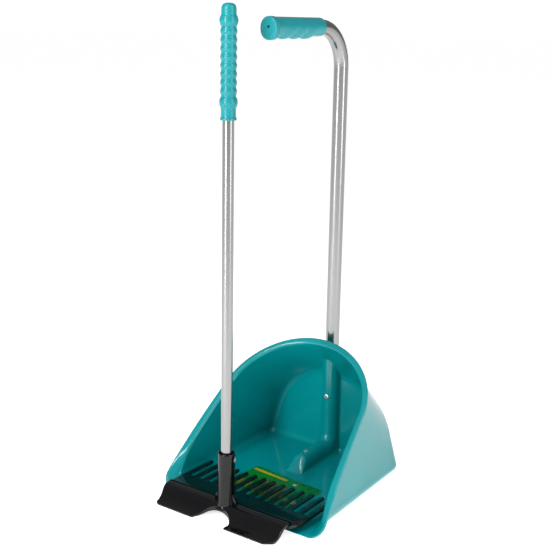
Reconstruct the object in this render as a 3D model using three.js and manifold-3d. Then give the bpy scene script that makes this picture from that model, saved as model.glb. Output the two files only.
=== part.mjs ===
// A long-handled scoop pan and the rake that goes with it.
// Millimetres, +Z up, +X to the right and +Y to the back, with the floor at z = 0.
// The upright tube of the scoop stands at x = 0, y = BACK. Places along the pan are
// given as the distance forward of that tube, so y = BACK - forward.
import * as THREE from 'three';
import { mergeVertices } from 'three/addons/utils/BufferGeometryUtils.js';
import Module from 'manifold-3d';

const wasm = await Module();
wasm.setup();

// ---- driving dimensions ----
const BACK = 148.5;            // tube axis behind the middle of the set
const GAP = 0.3;               // air between pieces that touch

const PAN = {
  wall: 3,                     // moulded wall
  edge: 1.5,                   // tapered front edge
  length: 257,                 // front edge, forward of the tube
  panel: -7,                   // inner face of the back panel
  crease: 235,                 // where the floor turns into the front ramp
  backFillet: 9,               // between the back panel and the floor, walls and roof
};
// Arches: a round top on two straight legs that lean in, cut off by the floor.
const RIM = { radius: 126, centre: 179, lean: 5.7, floor: 0, corner: 18 };
const ROOT = { radius: 117, centre: 179, lean: 4.5, floor: 29.7, corner: 9 };
const REAR = { radius: 112.5, centre: 27, lean: 17.5, floor: 3, corner: 7 };
// The rim's side profile: how it rises from the front edge to the top of the arch.
const RIM_PROFILE = { span: 305, run: 226, rise: 203.5, bow: 62 };

const SCOOP_TUBE = { radius: 11, wall: 1.2, top: 689, topBend: 60, footBend: 24, foot: 14, toe: 82 };
const RIB = { radius: 13.9, noseStart: 86, noseEnd: 104 };
const SCOOP_GRIP = {
  radius: 13.2, start: 64, end: 192, bore: 11.3,
  lobesFrom: 92, lobesTo: 173, pitch: 27, lobe: 3.6,
  flange: 10, flangeSide: 0.6, flangeBelow: 4, vent: 2,
};
const RIVET = { flange: 4.25, shank: 2.4, bore: 1.3, hole: 2.7, bulb: 3.5, bulbLength: 2.6 };
const UPPER_RIVET_Z = 103;
const LOWER_RIVET = 71;
const LABEL = { width: 132, depth: 76, thick: 0.4, x: 3, forward: 164, turn: -5.2 };

const RAKE = { x: -6.5, forward: 272, leanX: -0.0208, leanY: 0.03 };
const RAKE_TUBE = { radius: 8, wall: 1.2, bottom: 30, top: 699 };  // its bottom stands on the socket's seat
const RAKE_GRIP = {
  bottom: 567.6, top: 718.5, pitch: 11, ribs: 8, firstRib: 605.6, ridge: 11.2, groove: 9.9,
};
// Radius and height above the grip's lower end: the collar and bulge below the ribs, and the knob above.
const RAKE_GRIP_COLLAR = [
  [11.1, 0], [11.1, 3], [10.1, 4], [10.1, 16], [11.6, 19.5], [12.3, 23.6], [11.6, 28], [9.9, 31.5],
];
const RAKE_GRIP_KNOB = [
  [11.7, 124], [12.5, 128.4], [11.7, 133], [10, 136.5], [10, 144], [9, 148], [6, 150.2], [0, 150.9],
];
const HEAD = {
  spine: 109, spineTop: 21.5, spineDepth: 8, plateTop: 16.5, plateThick: 4, plateDepth: 45,
  tineLength: 64, tines: 14, pitch: 17.45, tineWidth: 7.8, combShift: 2, slope: 1.9, blade: 36,
};
const SOCKET = {
  foot: 14, top: 97, topRadius: 12.5, footRadius: 14, bore: 8.35, seat: 30, recess: 10.4, recessDepth: 8,
};
const RAKE_RIVET_Z = 86;
const RAKE_RIVET_TURN = 25;    // degrees from +X towards the back

// ---- materials ----
const material = (color, roughness, metalness) =>
  new THREE.MeshStandardMaterial({ color, roughness, metalness });
const TEAL = material(0x00959b, 0.28, 0);
const GRIP_TEAL = material(0x0a9aa3, 0.55, 0);
const BLACK = material(0x0a0b0d, 0.22, 0);
const ALUMINIUM = material(0xbfc1c0, 0.32, 1);
const RIVET_STEEL = material(0xd8d8d6, 0.35, 1);
const GREEN = material(0x0a8a24, 0.35, 0);

const radians = THREE.MathUtils.degToRad;
const vec = (x, y, z) => new THREE.Vector3(x, y, z);
const lerp = THREE.MathUtils.lerp;

// ---- solids ----
function geometryFrom(points, triangles) {
  const geometry = new THREE.BufferGeometry();
  const flat = points.flatMap(p => [p.x, p.y, p.z]);
  geometry.setAttribute('position', new THREE.Float32BufferAttribute(flat, 3));
  geometry.setIndex(triangles.flat());
  return weld(geometry);
}

function weld(geometry) {
  geometry.deleteAttribute('normal');
  geometry.deleteAttribute('uv');
  const welded = mergeVertices(geometry, 1e-3);
  const index = Array.from(welded.index.array);
  const kept = [];
  for (let i = 0; i < index.length; i += 3) {
    const [a, b, c] = index.slice(i, i + 3);
    if (a !== b && b !== c && c !== a) kept.push(a, b, c);
  }
  welded.setIndex(kept);
  return welded;
}

function solid(geometry) {
  const welded = weld(geometry.clone());
  const vertProperties = Float32Array.from(welded.attributes.position.array);
  const triVerts = Uint32Array.from(welded.index.array);
  return new wasm.Manifold(new wasm.Mesh({ numProp: 3, vertProperties, triVerts }));
}

function geometryOf(manifold) {
  const mesh = manifold.getMesh();
  const geometry = new THREE.BufferGeometry();
  geometry.setAttribute('position', new THREE.BufferAttribute(Float32Array.from(mesh.vertProperties), 3));
  geometry.setIndex(new THREE.BufferAttribute(Uint32Array.from(mesh.triVerts), 1));
  return geometry;
}

// Six times the volume that the triangles enclose: negative when their faces point in.
const signedVolume = (points, triangles) =>
  triangles.reduce((sum, [a, b, c]) => sum + points[a].dot(points[b].clone().cross(points[c])), 0);

// Skins a row of closed rings of equal count and closes both ends with fans.
function skin(rings) {
  const count = rings[0].length;
  const points = rings.flat();
  const triangles = [];
  for (let r = 0; r + 1 < rings.length; r++) {
    for (let i = 0; i < count; i++) {
      const a = r * count + i;
      const b = r * count + (i + 1) % count;
      triangles.push([a, b, b + count], [a, b + count, a + count]);
    }
  }
  const last = (rings.length - 1) * count;
  for (let i = 1; i + 1 < count; i++) {
    triangles.push([0, i + 1, i], [last, last + i, last + i + 1]);
  }
  const outward = signedVolume(points, triangles) > 0;
  return geometryFrom(points, outward ? triangles : triangles.map(([a, b, c]) => [a, c, b]));
}

// A cylinder between two points.
function rod(from, to, radius, segments = 16) {
  const axis = to.clone().sub(from);
  const geometry = new THREE.CylinderGeometry(radius, radius, axis.length(), segments);
  geometry.applyQuaternion(new THREE.Quaternion().setFromUnitVectors(vec(0, 1, 0), axis.clone().normalize()));
  const middle = from.clone().add(to).multiplyScalar(0.5);
  return geometry.translate(middle.x, middle.y, middle.z);
}

// Turns a profile of [radius, height] pairs about an axis from `base` along `direction`.
function turned(profile, base, direction, segments = 16) {
  const geometry = new THREE.LatheGeometry(profile.map(([r, h]) => new THREE.Vector2(r, h)), segments);
  geometry.applyQuaternion(new THREE.Quaternion().setFromUnitVectors(vec(0, 1, 0), direction));
  return geometry.translate(base.x, base.y, base.z);
}

// ---- arches of the pan ----
// Samples half an arch: `inner` points at set distances from the middle, then `arc`, `leg` and
// `corner` steps. Gives the floor line and the arched line, both from the middle to the corner.
const HALF = { inner: [0, 12, 24], arc: 6, leg: 2, corner: 3 };

function halfArch(arch) {
  const lean = radians(arch.lean);
  const floorWidth = arch.radius / Math.cos(lean) + (arch.centre - arch.floor) * Math.tan(lean);
  const tangent = arch.corner / Math.tan((Math.PI / 2 - lean) / 2);
  const cornerX = floorWidth - tangent;
  const cornerS = arch.floor + arch.corner;
  const legTop = [arch.radius * Math.cos(lean), arch.centre + arch.radius * Math.sin(lean)];
  const legFoot = [floorWidth - tangent * Math.sin(lean), arch.floor + tangent * Math.cos(lean)];
  const around = (angle) =>
    [cornerX + arch.corner * Math.cos(angle), cornerS + arch.corner * Math.sin(angle)];
  const middleAngle = (lean - Math.PI / 2) / 2;
  const first = HALF.inner.at(-1);
  const bottom = HALF.inner.map(x => [x, arch.floor]);
  const top = HALF.inner.map(x => [x, arch.centre + Math.sqrt(arch.radius ** 2 - x ** 2)]);
  const straight = HALF.arc + HALF.leg;
  for (let i = 1; i <= straight; i++) {
    bottom.push([lerp(first, cornerX, i / straight), arch.floor]);
  }
  const startAngle = Math.acos(first / arch.radius);
  for (let i = 1; i <= HALF.arc; i++) {
    const angle = lerp(startAngle, lean, i / HALF.arc);
    top.push([arch.radius * Math.cos(angle), arch.centre + arch.radius * Math.sin(angle)]);
  }
  for (let i = 1; i <= HALF.leg; i++) {
    top.push([lerp(legTop[0], legFoot[0], i / HALF.leg), lerp(legTop[1], legFoot[1], i / HALF.leg)]);
  }
  for (let i = 1; i <= HALF.corner; i++) {
    bottom.push(around(lerp(-Math.PI / 2, middleAngle, i / HALF.corner)));
    top.push(around(lerp(lean, middleAngle, i / HALF.corner)));
  }
  return { bottom, top };
}

// A whole arch from left to right, placed in space by `place(x, s)`.
function archLines(arch, place) {
  const half = halfArch(arch);
  const whole = (line) => [
    ...line.slice(1).reverse().map(([x, s]) => place(-x, s)),
    ...line.map(([x, s]) => place(x, s)),
  ];
  return { bottom: whole(half.bottom), top: whole(half.top) };
}

const rimHeight = (s) => {
  const t = s / RIM_PROFILE.span;
  return RIM_PROFILE.rise * t + RIM_PROFILE.bow * t * (1 - t) ** 2;
};
const rimY = (s) => BACK - PAN.length + RIM_PROFILE.run * s / RIM_PROFILE.span;
const placeRim = (x, s) => vec(x, rimY(s), rimHeight(s) + PAN.edge);
const placeRoot = (x, s) => {
  const rise = Math.max(0, 1 - (s - ROOT.floor) / 45);
  const drop = rimHeight(ROOT.floor) + PAN.edge - PAN.wall;
  return vec(x, rimY(s), rimHeight(s) + PAN.edge - drop * rise ** 2);
};
const placeRear = (x, s) => vec(x, BACK - PAN.panel, s);

// The inner face of the pan as rows of points: over the ramp and the floor, up the back panel,
// and forward along the roof and walls to the rim.
function innerRows() {
  const rim = archLines(RIM, placeRim);
  const root = archLines(ROOT, placeRoot);
  const rear = archLines(REAR, placeRear);
  const inset = {
    ...REAR, radius: REAR.radius - PAN.backFillet, floor: REAR.floor + PAN.backFillet, corner: 4,
  };
  const flat = archLines(inset, placeRear);
  const wallRow = (side, i) => root[side].map((p, k) => {
    const whole = rear[side][k].clone().sub(p);
    const reach = (whole.length() - PAN.backFillet) / whole.length();
    return p.clone().addScaledVector(whole, reach * i / 3);
  });
  const filletRow = (side, t) => rear[side].map((edge, k) => {
    const point = wallRow(side, 3)[k].multiplyScalar((1 - t) ** 2);
    return point.addScaledVector(edge, 2 * t * (1 - t)).addScaledVector(flat[side][k], t * t);
  });
  const sideRows = (side) => [
    rim[side], root[side], wallRow(side, 1), wallRow(side, 2), wallRow(side, 3),
    filletRow(side, 1 / 3), filletRow(side, 2 / 3), flat[side],
  ];
  return [...sideRows('bottom'), ...sideRows('top').reverse()];
}

function gridTriangles(rows) {
  const columns = rows[0].length;
  const triangles = [];
  for (let r = 0; r + 1 < rows.length; r++) {
    for (let c = 0; c + 1 < columns; c++) {
      const a = r * columns + c;
      triangles.push([a, a + 1, a + 1 + columns], [a, a + 1 + columns, a + columns]);
    }
  }
  return triangles;
}

// Vertex normals that weigh each face by its angle at the vertex.
function vertexNormals(points, triangles) {
  const normals = points.map(() => vec(0, 0, 0));
  for (const triangle of triangles) {
    const [a, b, c] = triangle.map(i => points[i]);
    const face = b.clone().sub(a).cross(c.clone().sub(a)).normalize();
    triangle.forEach((index, corner) => {
      const here = points[index];
      const one = points[triangle[(corner + 1) % 3]].clone().sub(here);
      const two = points[triangle[(corner + 2) % 3]].clone().sub(here);
      normals[index].addScaledVector(face, one.angleTo(two));
    });
  }
  return normals.map(n => n.normalize());
}

// Gives the sheet its wall. Returns the shell and the solid that its outer face encloses.
function panSolids() {
  const sheet = geometryFrom(innerRows().flat(), gridTriangles(innerRows()));
  const position = sheet.attributes.position;
  const inner = Array.from({ length: position.count },
    (_, i) => new THREE.Vector3().fromBufferAttribute(position, i));
  const index = Array.from(sheet.index.array);
  const triangles = [];
  for (let i = 0; i < index.length; i += 3) triangles.push(index.slice(i, i + 3));
  const normals = vertexNormals(inner, triangles);
  const onFrontEdge = (p) => Math.max(0, 1 - (p.y - (BACK - PAN.length)) / 22) * Math.max(0, 1 - p.z / 30);
  const outer = inner.map((p, i) => {
    const thick = lerp(PAN.wall, PAN.edge, onFrontEdge(p));
    const moved = p.clone().addScaledVector(normals[i], -thick);
    moved.z = Math.max(moved.z, 0);
    return moved;
  });
  const edges = new Map();
  for (const [a, b, c] of triangles) {
    for (const [from, to] of [[a, b], [b, c], [c, a]]) {
      if (!edges.delete(`${to},${from}`)) edges.set(`${from},${to}`, [from, to]);
    }
  }
  const count = inner.length;
  const flipped = triangles.map(([a, b, c]) => [a + count, c + count, b + count]);
  const strip = [...edges.values()].flatMap(([from, to]) => [
    [to, from, from + count], [to, from + count, to + count],
  ]);
  const shell = geometryFrom([...inner, ...outer], [...triangles, ...flipped, ...strip]);
  const mouth = vec(0, BACK - PAN.length / 2, 90);
  const lid = [...edges.values()].map(([from, to]) => [to, from, outer.length]);
  const envelope = geometryFrom([...outer, mouth], [...triangles.map(([a, b, c]) => [a, c, b]),
    ...lid.map(([a, b, c]) => [b, a, c])]);
  return { shell: solid(shell), envelope: solid(envelope) };
}

// ---- the scoop's tube path, in the plane x = 0 ----
// Each step is a point and the direction that points to the inside of the bends.
function footPath(toe, top, steps = 5) {
  const { footBend, foot } = SCOOP_TUBE;
  const path = [{ at: vec(0, BACK - toe, foot), inward: vec(0, 0, 1) }];
  for (let i = 0; i <= steps; i++) {
    const angle = Math.PI / 2 * i / steps;
    path.push({
      at: vec(0, BACK - footBend + footBend * Math.sin(angle), foot + footBend - footBend * Math.cos(angle)),
      inward: vec(0, -Math.sin(angle), Math.cos(angle)),
    });
  }
  path.push({ at: vec(0, BACK, top), inward: vec(0, -1, 0) });
  return path;
}

// Rings of a section, given as [sideways, inward] pairs, along a path.
const ringsAlong = (path, section) => path.map(({ at, inward }) =>
  section.map(([side, up]) => at.clone().addScaledVector(inward, up).setX(at.x + side)));

const circle = (radius, segments = 16) => Array.from({ length: segments }, (_, i) => {
  const angle = 2 * Math.PI * i / segments;
  return [radius * Math.cos(angle), radius * Math.sin(angle)];
});

// A round crown on straight sides that reach `depth` outwards.
function crown(radius, depth, segments = 12) {
  const arc = Array.from({ length: segments + 1 }, (_, i) => {
    const angle = Math.PI * i / segments;
    return [radius * Math.cos(angle), radius * Math.sin(angle)];
  });
  return [...arc, [-radius, -depth], [radius, -depth]];
}

// The raised housing of the tube inside the pan, with its sloping nose.
function ribSolid() {
  const { foot } = SCOOP_TUBE;
  const path = footPath(RIB.noseStart, 240);
  const nose = [[RIB.noseEnd, 0.08], [(RIB.noseStart + RIB.noseEnd) / 2, 0.66]].map(([forward, height]) =>
    crown(RIB.radius, 0).map(([side, up]) => vec(side, BACK - forward, Math.max(0, (foot + up) * height))));
  const body = path.map(({ at, inward }) =>
    crown(RIB.radius, foot).map(([side, up]) => at.clone().addScaledVector(inward, up).setX(side)));
  return solid(skin([...nose, ...body]));
}

function grooveSolid() {
  const reach = 40;
  const path = footPath(SCOOP_TUBE.toe + 2.3, 300);
  return solid(skin(ringsAlong(path, crown(SCOOP_TUBE.radius + 0.4, reach))));
}

// Where each rivet of the scoop sits: the tube axis under it and the way its head faces.
const SCOOP_RIVETS = {
  upper: { at: vec(0, BACK, UPPER_RIVET_Z), out: vec(0, -1, 0) },
  lower: { at: vec(0, BACK - LOWER_RIVET, SCOOP_TUBE.foot), out: vec(0, 0, 1) },
};
const FLAT_UNDER_RIVET = 13.2;

function scoopPan() {
  const { shell, envelope } = panSolids();
  let pan = shell.add(ribSolid().intersect(envelope)).subtract(grooveSolid());
  for (const { at, out } of Object.values(SCOOP_RIVETS)) {
    const along = (distance) => at.clone().addScaledVector(out, distance);
    pan = pan.subtract(solid(rod(along(FLAT_UNDER_RIVET), along(FLAT_UNDER_RIVET + 6), RIVET.flange + 0.8)));
    pan = pan.subtract(solid(rod(along(5), along(FLAT_UNDER_RIVET + 1), RIVET.hole)));
  }
  return geometryOf(pan);
}

function scoopTube() {
  const { radius, wall, top, topBend } = SCOOP_TUBE;
  const path = footPath(SCOOP_TUBE.toe, 300);
  const steps = 7;
  for (let i = 0; i <= steps; i++) {
    const angle = Math.PI / 2 * i / steps;
    path.push({
      at: vec(0, BACK - topBend + topBend * Math.cos(angle), top - topBend + topBend * Math.sin(angle)),
      inward: vec(0, -Math.cos(angle), -Math.sin(angle)),
    });
  }
  const gripStop = SCOOP_GRIP.end - 4.5;
  path.push({ at: vec(0, BACK - gripStop, top), inward: vec(0, 0, -1) });
  const stretched = path.map((step) => ({ ...step }));
  stretched[0] = { ...path[0], at: path[0].at.clone().setY(path[0].at.y - 2) };
  stretched[path.length - 1] = { ...path.at(-1), at: path.at(-1).at.clone().setY(BACK - gripStop - 2) };
  const outer = solid(skin(ringsAlong(path, circle(radius))));
  const inner = solid(skin(ringsAlong(stretched, circle(radius - wall))));
  let tube = outer.subtract(inner);
  for (const { at, out } of Object.values(SCOOP_RIVETS)) {
    tube = tube.subtract(solid(rod(at, at.clone().addScaledVector(out, radius + 2), RIVET.hole)));
  }
  return geometryOf(tube);
}

function footPlug() {
  const inside = SCOOP_TUBE.radius - SCOOP_TUBE.wall - GAP;
  const profile = [
    [0, -6], [inside - 0.6, -6], [inside, -5], [inside, GAP], [10.6, GAP], [10.6, 1.7], [0, 1.7],
  ];
  return turned(profile, vec(0, BACK - SCOOP_TUBE.toe, SCOOP_TUBE.foot), vec(0, -1, 0));
}

// Where a rivet's bulb can start inside a tube of this inside radius.
const bulbTop = (tubeInside) => Math.sqrt(tubeInside ** 2 - RIVET.bulb ** 2) - 0.5;

// A set blind rivet: domed flange, hollow shank and the bulb on its blind side. Heights are
// measured from the tube's axis.
function rivetBody({ at, out }, seat, tubeInside) {
  const { flange, shank, bore, bulb, bulbLength } = RIVET;
  const top = bulbTop(tubeInside);
  const profile = [
    [bore, top - bulbLength], [3.3, top - 2.2], [bulb, top - 1], [3.1, top - 0.1], [shank, top],
    [shank, seat + GAP], [flange, seat + GAP], [flange - 0.2, seat + 0.8], [2.8, seat + 1.5],
    [bore, seat + 1.6], [bore, top - bulbLength],
  ];
  return turned(profile, at, out, 12);
}

// The stub of the pulled pin that stays inside the rivet.
function rivetPin({ at, out }, seat, tubeInside) {
  const end = bulbTop(tubeInside) - RIVET.bulbLength - GAP;
  const pin = RIVET.bore - GAP;
  const profile = [
    [0, end - 1.4], [1.6, end - 1.2], [2, end], [pin, end], [pin, seat + 0.4], [0, seat + 0.4],
  ];
  return turned(profile, at, out, 12);
}

// A pull-on handle on the level end of the tube, with finger lobes below and a flange at its end.
function scoopGrip() {
  const { radius, start, end, bore, lobesFrom, lobesTo, pitch, lobe } = SCOOP_GRIP;
  const { flange, flangeSide, flangeBelow, vent } = SCOOP_GRIP;
  const axis = SCOOP_TUBE.top;
  const rounding = 1.5;
  const lobeSteps = 12;
  const lobeAt = (forward) => {
    const inLobes = forward > lobesFrom && forward < lobesTo;
    return inLobes ? lobe * (0.5 - 0.5 * Math.cos(2 * Math.PI * (forward - lobesFrom) / pitch)) : 0;
  };
  const places = [start, start + 2 * rounding];
  for (let i = 0; i <= lobeSteps; i++) places.push(lerp(lobesFrom, lobesTo, i / lobeSteps));
  places.push(end - flange - 1, end - flange + 2, end - rounding, end);
  const ring = (forward) => {
    const inFlange = forward > end - flange;
    const tip = forward >= end || forward <= start ? rounding : 0;
    const side = radius - tip + (inFlange ? flangeSide : 0);
    const below = side + lobeAt(forward) + (inFlange ? flangeBelow : 0);
    return circle(1, 20).map(([x, z]) => vec(side * x, BACK - forward, axis + (z < 0 ? below : side) * z));
  };
  const body = solid(skin(places.map(ring).reverse()));
  const hollow = solid(rod(vec(0, BACK - start + 5, axis), vec(0, BACK - end + 4, axis), bore, 20));
  const hole = solid(rod(vec(0, BACK - end + 6, axis), vec(0, BACK - end - 5, axis), vent, 12));
  return geometryOf(body.subtract(hollow).subtract(hole));
}

function panLabel() {
  const { width, depth, thick, x, forward, turn } = LABEL;
  const geometry = new THREE.BoxGeometry(width, depth, thick);
  geometry.rotateZ(radians(turn));
  return geometry.translate(x, BACK - forward, PAN.wall + GAP + thick / 2);
}

// ---- the rake ----
const RAKE_Y = BACK - RAKE.forward;
const rakeAxis = vec(RAKE.leanX, RAKE.leanY, 1).normalize();
const onRake = (height) => vec(RAKE.x + RAKE.leanX * height, RAKE_Y + RAKE.leanY * height, height);

function rakeTube() {
  const { radius, wall, bottom, top } = RAKE_TUBE;
  const inner = radius - wall;
  const length = onRake(top).distanceTo(onRake(bottom));
  const profile = [[inner, 0], [radius, 0], [radius, length], [inner, length], [inner, 0]];
  const tube = solid(turned(profile, onRake(bottom), rakeAxis));
  return geometryOf(tube.subtract(solid(rod(onRake(RAKE_RIVET_Z), rakeRivetPoint(radius + 2), RIVET.hole))));
}

// The rake's rivet goes in from the right of the socket, square to the leaning axis.
const rivetX = Math.cos(radians(RAKE_RIVET_TURN));
const rivetY = Math.sin(radians(RAKE_RIVET_TURN));
const RAKE_RIVET = {
  at: onRake(RAKE_RIVET_Z),
  out: vec(rivetX, rivetY, -RAKE.leanX * rivetX - RAKE.leanY * rivetY).normalize(),
};
function rakeRivetPoint(distance) {
  return RAKE_RIVET.at.clone().addScaledVector(RAKE_RIVET.out, distance);
}
const RAKE_RIVET_SEAT = 11.8;

function rakeGrip() {
  const { bottom, top, pitch, ribs, firstRib, ridge, groove } = RAKE_GRIP;
  const bore = RAKE_TUBE.radius + GAP;
  const outside = [...RAKE_GRIP_COLLAR];
  for (let i = 0; i < ribs; i++) {
    const rib = firstRib - bottom + i * pitch;
    outside.push([ridge, rib], [groove, rib + pitch / 2]);
  }
  outside.push(...RAKE_GRIP_KNOB);
  const roof = RAKE_TUBE.top - bottom + GAP + 0.5;
  const profile = [[0, roof], [bore, roof], [bore, 0], ...outside];
  const stretch = onRake(top).distanceTo(onRake(bottom)) / (top - bottom);
  return turned(profile.map(([r, h]) => [r, h * stretch]), onRake(bottom), rakeAxis);
}

// Plan of the tine plate: a comb whose teeth point back, drawn about the rake's middle.
function combPlate() {
  const { spine, plateDepth, plateThick, plateTop, slope } = HEAD;
  const { tineLength, tines, pitch, tineWidth, combShift } = HEAD;
  const half = tineWidth / 2;
  const shape = new THREE.Shape();
  const wide = (tines - 1) / 2 * pitch + half;
  shape.moveTo(-spine, 0);
  shape.lineTo(spine, 0);
  shape.lineTo(combShift + wide, 18);
  for (let i = tines - 1; i >= 0; i--) {
    const x = combShift + (i - (tines - 1) / 2) * pitch;
    shape.lineTo(x + half, plateDepth);
    shape.lineTo(x + half, plateDepth + tineLength - half);
    for (const angle of [30, 60, 90, 120, 150]) {
      const turn = radians(angle);
      shape.lineTo(x + half * Math.cos(turn), plateDepth + tineLength - half + half * Math.sin(turn));
    }
    shape.lineTo(x - half, plateDepth + tineLength - half);
    shape.lineTo(x - half, plateDepth);
  }
  shape.lineTo(combShift - wide, 18);
  shape.closePath();
  const geometry = new THREE.ExtrudeGeometry(shape, { depth: plateThick, bevelEnabled: false });
  geometry.translate(0, 0, -plateThick).rotateX(-radians(slope));
  return geometry.translate(RAKE.x, RAKE_Y, plateTop);
}

// Scraper blade: a double-curved strip that runs forward and down from the spine to the floor,
// cut to its outline in plan.
function bladeSolid() {
  const upper = [[-4, 21.5], [3, 21.5], [9, 20.5], [14, 17], [18, 12], [23, 7], [29, 4], [36, 2.4]];
  const lower = [[36, 0], [29, 0.8], [22, 3.2], [16, 8], [12, 13], [8, 16.5], [3, 17.5], [-4, 17.5]];
  const section = new THREE.Shape([...upper, ...lower].map(([forward, z]) => new THREE.Vector2(forward, z)));
  const strip = new THREE.ExtrudeGeometry(section, { depth: 2 * HEAD.spine, bevelEnabled: false });
  strip.applyMatrix4(new THREE.Matrix4().makeBasis(vec(0, -1, 0), vec(0, 0, 1), vec(-1, 0, 0)));
  strip.translate(RAKE.x + HEAD.spine, RAKE_Y, 0);
  const plan = new THREE.Shape();
  const front = HEAD.blade + 1;
  plan.moveTo(-HEAD.spine, 10);
  plan.lineTo(-HEAD.spine, -8);
  plan.lineTo(-105, -front + 6);
  plan.absarc(-99, -front + 6, 6, Math.PI, 1.5 * Math.PI, false);
  plan.lineTo(-33.5, -front);
  plan.bezierCurveTo(-26, -22, -15, -14, -1, -14);
  plan.bezierCurveTo(13, -14, 25, -22, 31, -front);
  plan.lineTo(92, -front);
  plan.lineTo(105, -27);
  plan.lineTo(HEAD.spine, -8);
  plan.lineTo(HEAD.spine, 10);
  plan.closePath();
  const cutter = new THREE.ExtrudeGeometry(plan, { depth: 60, bevelEnabled: false, curveSegments: 8 });
  cutter.translate(RAKE.x, RAKE_Y, -10);
  return solid(strip).intersect(solid(cutter));
}

function rakeHead() {
  const { spine, spineTop, spineDepth, plateTop, plateThick } = HEAD;
  const bar = new THREE.BoxGeometry(2 * spine, spineDepth, spineTop - plateTop + plateThick);
  bar.translate(RAKE.x, RAKE_Y + spineDepth / 2 - 1, (spineTop + plateTop - plateThick) / 2);
  const { foot, top, topRadius, footRadius, bore, seat, recess, recessDepth } = SOCKET;
  const height = top - foot;
  const bottom = seat - foot - GAP;
  const post = [
    [0, 0], [footRadius + 1.5, 0], [footRadius, 4], [13.2, 22], [topRadius, 40],
    [topRadius, height], [0, height],
  ];
  const hollow = [[0, bottom], [bore, bottom], [bore, height - recessDepth],
    [recess, height - recessDepth + 1.5], [recess, height + 1], [0, height + 1]];
  let head = solid(combPlate()).add(bladeSolid()).add(solid(bar));
  head = head.add(solid(turned(post, onRake(foot), rakeAxis)));
  head = head.subtract(solid(turned(hollow, onRake(foot), rakeAxis)));
  const spotFace = solid(rod(rakeRivetPoint(RAKE_RIVET_SEAT), rakeRivetPoint(20), RIVET.flange + 0.8));
  const hole = solid(rod(rakeRivetPoint(5), rakeRivetPoint(20), RIVET.hole));
  return geometryOf(head.subtract(spotFace).subtract(hole));
}

// ---- assembly ----
const set = new THREE.Group();
set.name = 'scoop_and_rake';

function piece(name, geometry, look) {
  const mesh = new THREE.Mesh(geometry, look);
  mesh.name = name;
  return mesh;
}

const scoopInside = SCOOP_TUBE.radius - SCOOP_TUBE.wall;
const rakeInside = RAKE_TUBE.radius - RAKE_TUBE.wall;
const scoop = new THREE.Group();
scoop.add(
  piece('scoop_pan', scoopPan(), TEAL),
  piece('scoop_tube', scoopTube(), ALUMINIUM),
  piece('scoop_grip', scoopGrip(), GRIP_TEAL),
  piece('foot_plug', footPlug(), BLACK),
  piece('upper_rivet', rivetBody(SCOOP_RIVETS.upper, FLAT_UNDER_RIVET, scoopInside), RIVET_STEEL),
  piece('upper_rivet_pin', rivetPin(SCOOP_RIVETS.upper, FLAT_UNDER_RIVET, scoopInside), RIVET_STEEL),
  piece('lower_rivet', rivetBody(SCOOP_RIVETS.lower, FLAT_UNDER_RIVET, scoopInside), RIVET_STEEL),
  piece('lower_rivet_pin', rivetPin(SCOOP_RIVETS.lower, FLAT_UNDER_RIVET, scoopInside), RIVET_STEEL),
  piece('pan_label', panLabel(), GREEN),
);
const rake = new THREE.Group();
rake.add(
  piece('rake_head', rakeHead(), BLACK),
  piece('rake_tube', rakeTube(), ALUMINIUM),
  piece('rake_grip', rakeGrip(), GRIP_TEAL),
  piece('rake_rivet', rivetBody(RAKE_RIVET, RAKE_RIVET_SEAT, rakeInside), RIVET_STEEL),
  piece('rake_rivet_pin', rivetPin(RAKE_RIVET, RAKE_RIVET_SEAT, rakeInside), RIVET_STEEL),
);
set.add(scoop, rake);

export default set;
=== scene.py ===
"""Looks of a long-handled scoop pan and its rake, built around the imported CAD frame.

Blender 4.5, metres, +Z up, +Y to the back. The shape helpers work in millimetres, in the same
frame, and mesh_piece() turns them into metres.
"""
import math
from collections import namedtuple

import bmesh
import bpy
import numpy as np
from mathutils import Matrix, Vector


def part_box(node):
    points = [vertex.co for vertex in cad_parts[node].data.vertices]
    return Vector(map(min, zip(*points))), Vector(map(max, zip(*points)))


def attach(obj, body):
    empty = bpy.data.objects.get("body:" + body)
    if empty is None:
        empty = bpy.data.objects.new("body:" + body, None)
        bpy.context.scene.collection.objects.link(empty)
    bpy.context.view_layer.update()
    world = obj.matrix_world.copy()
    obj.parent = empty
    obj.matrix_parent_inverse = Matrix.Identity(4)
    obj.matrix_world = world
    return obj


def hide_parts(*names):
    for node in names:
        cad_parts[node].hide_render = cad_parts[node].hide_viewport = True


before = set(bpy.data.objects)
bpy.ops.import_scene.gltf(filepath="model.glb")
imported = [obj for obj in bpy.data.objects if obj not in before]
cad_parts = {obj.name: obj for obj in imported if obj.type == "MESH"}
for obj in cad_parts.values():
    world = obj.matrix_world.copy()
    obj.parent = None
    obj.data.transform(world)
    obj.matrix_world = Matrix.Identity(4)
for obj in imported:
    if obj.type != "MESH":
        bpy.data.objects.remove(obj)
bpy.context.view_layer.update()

MM = 0.001


def box(node):
    """Lowest and highest corner of a CAD node, in millimetres."""
    low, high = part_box(node)
    return np.array(low) / MM, np.array(high) / MM


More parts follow.
